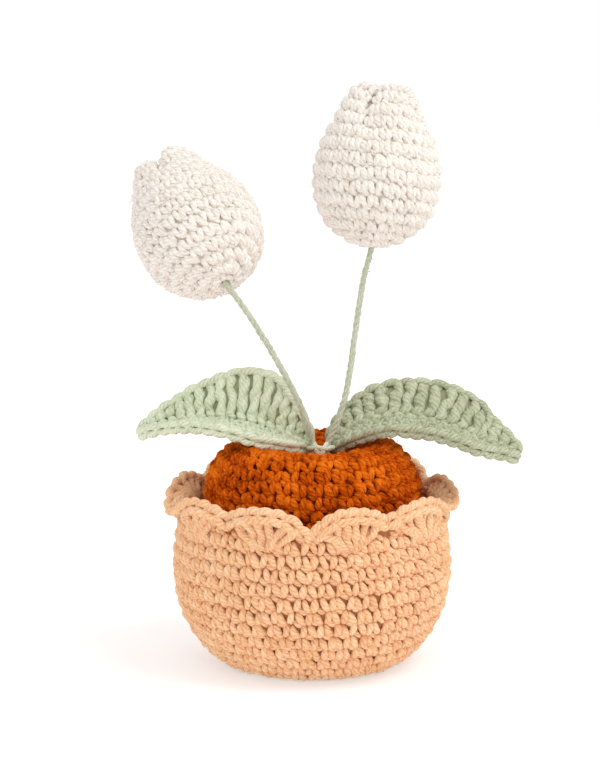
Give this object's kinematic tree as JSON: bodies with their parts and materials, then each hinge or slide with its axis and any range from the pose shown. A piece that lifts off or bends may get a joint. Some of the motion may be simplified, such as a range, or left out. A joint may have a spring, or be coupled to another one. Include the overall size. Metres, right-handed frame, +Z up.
{
  "type": "crocheted potted tulip",
  "caption": "Stuffed crochet plant: tulip heads on wired stems and folded leaves rise from a soil cushion in a round scalloped pot.",
  "frame": {"origin": "centre of the flat underside of the pot, on the surface that it stands on", "axes": "+Z up, -Y towards the viewer of the picture, +X to that viewer's right"},
  "size_m": [0.1056, 0.0785, 0.159],
  "materials": {
    "peach_yarn": "peach cotton yarn, single crochet",
    "rust_yarn": "rust brown brushed yarn, slightly fuzzy",
    "sage_yarn": "sage green cotton yarn",
    "cream_yarn": "off-white cotton yarn, single crochet",
    "stuffing": "white fibre stuffing",
    "wire": "bare floral wire"
  },
  "bodies": {
    "root": {"pot": "peach_yarn", "soil": "rust_yarn", "pot_filling": "stuffing", "leaf_left": "sage_yarn", "leaf_right": "sage_yarn", "stem_left": "sage_yarn", "stem_right": "sage_yarn", "wire_left": "wire", "wire_right": "wire", "bloom_left": "cream_yarn", "bloom_right": "cream_yarn", "bloom_filling_left": "stuffing", "bloom_filling_right": "stuffing"}
  },
  "joints": []
}
